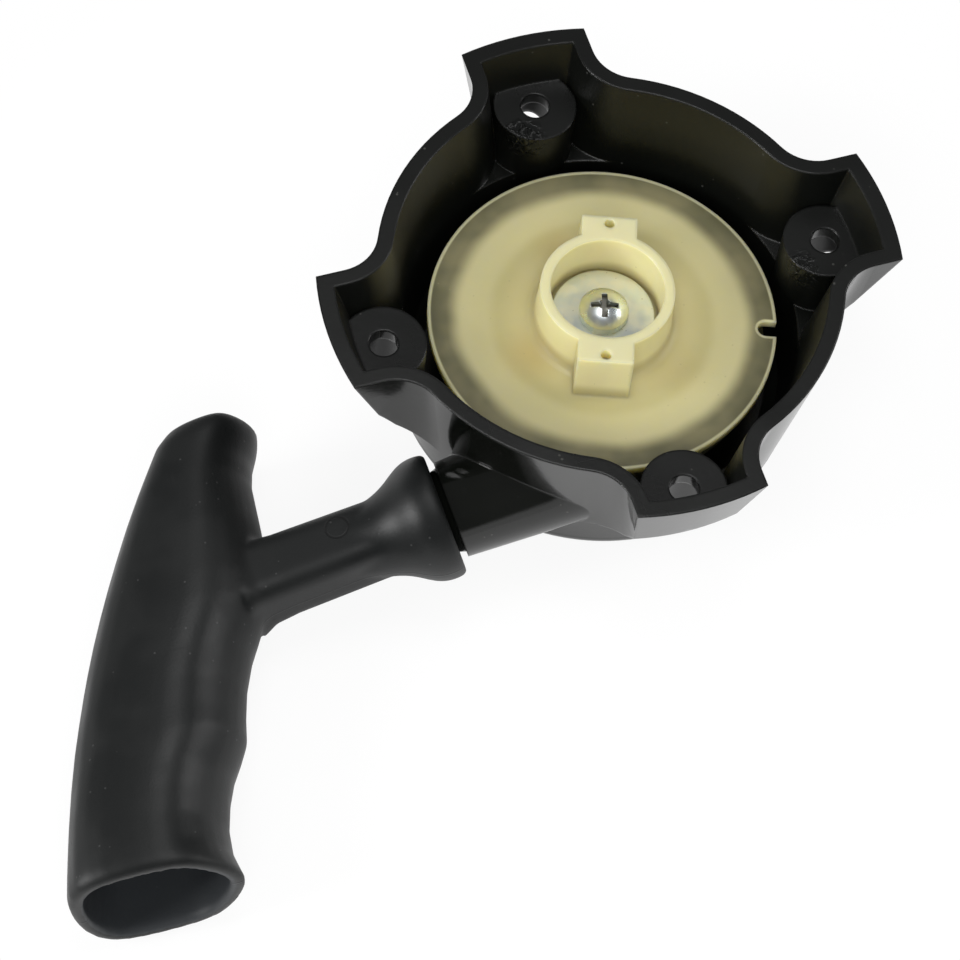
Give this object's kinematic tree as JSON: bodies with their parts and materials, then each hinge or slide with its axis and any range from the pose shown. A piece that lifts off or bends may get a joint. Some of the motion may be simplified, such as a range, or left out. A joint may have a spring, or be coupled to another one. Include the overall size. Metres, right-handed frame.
{
  "type": "recoil starter",
  "caption": "Pull-rope recoil starter of a small petrol engine: a cup housing with mounting ears and a rope spout, a sprung rope reel with drive dogs inside, and a hollow T-handle on the rope.",
  "frame": {"origin": "centre of the circle through the mounting holes, level with the boss faces that meet the engine", "axes": "+Z along the reel's axis out of the open engine side; the ears lie on X and Y; the rope leaves along -X, falling slightly"},
  "size_m": [0.1785, 0.1391, 0.0527],
  "materials": {
    "housing_plastic": "glossy black moulded nylon, satin on the rim face",
    "reel_nylon": "natural cream nylon, slightly translucent",
    "zinc_steel": "bright zinc plate",
    "eyelet_steel": "plain steel worn by the rope",
    "spring_steel": "blued spring steel, greased",
    "rope_braid": "black braided cord",
    "handle_plastic": "satin black moulded plastic"
  },
  "bodies": {
    "housing": {"starter_housing": "housing_plastic", "rope_eyelet": "eyelet_steel", "recoil_spring": "spring_steel", "retaining_washer": "zinc_steel", "centre_screw": "zinc_steel", "rope_run": "rope_braid"},
    "reel": {"reel": "reel_nylon", "rope_wound": "rope_braid", "reel_knot": "rope_braid"},
    "rope_end": {"rope_in_handle": "rope_braid", "handle_knot": "rope_braid"},
    "handle": {"handle": "handle_plastic"}
  },
  "joints": [
    {"name": "handle_pull", "type": "slide", "parent": "housing", "child": "rope_end", "axis": [-0.973, -0.017, -0.23], "range_m": [0, 0.46], "stiffness_N_per_m": 9, "springref_m": -0.7, "deforming": ["rope_run"]},
    {"name": "reel_spin", "type": "hinge", "parent": "housing", "child": "reel", "pos_m": [0, 0, 0], "axis": [0, 0, 1], "range_deg": [-1310, 5], "deforming": ["recoil_spring"]},
    {"name": "handle_swivel", "type": "hinge", "parent": "rope_end", "child": "handle", "pos_m": [-0.03806, -0.02767, -0.01742], "axis": [-0.973, -0.017, -0.23], "continuous": true}
  ],
  "couplings": [
    {"joint": "reel_spin", "follows": "handle_pull", "rad_per_m": -49.361}
  ]
}
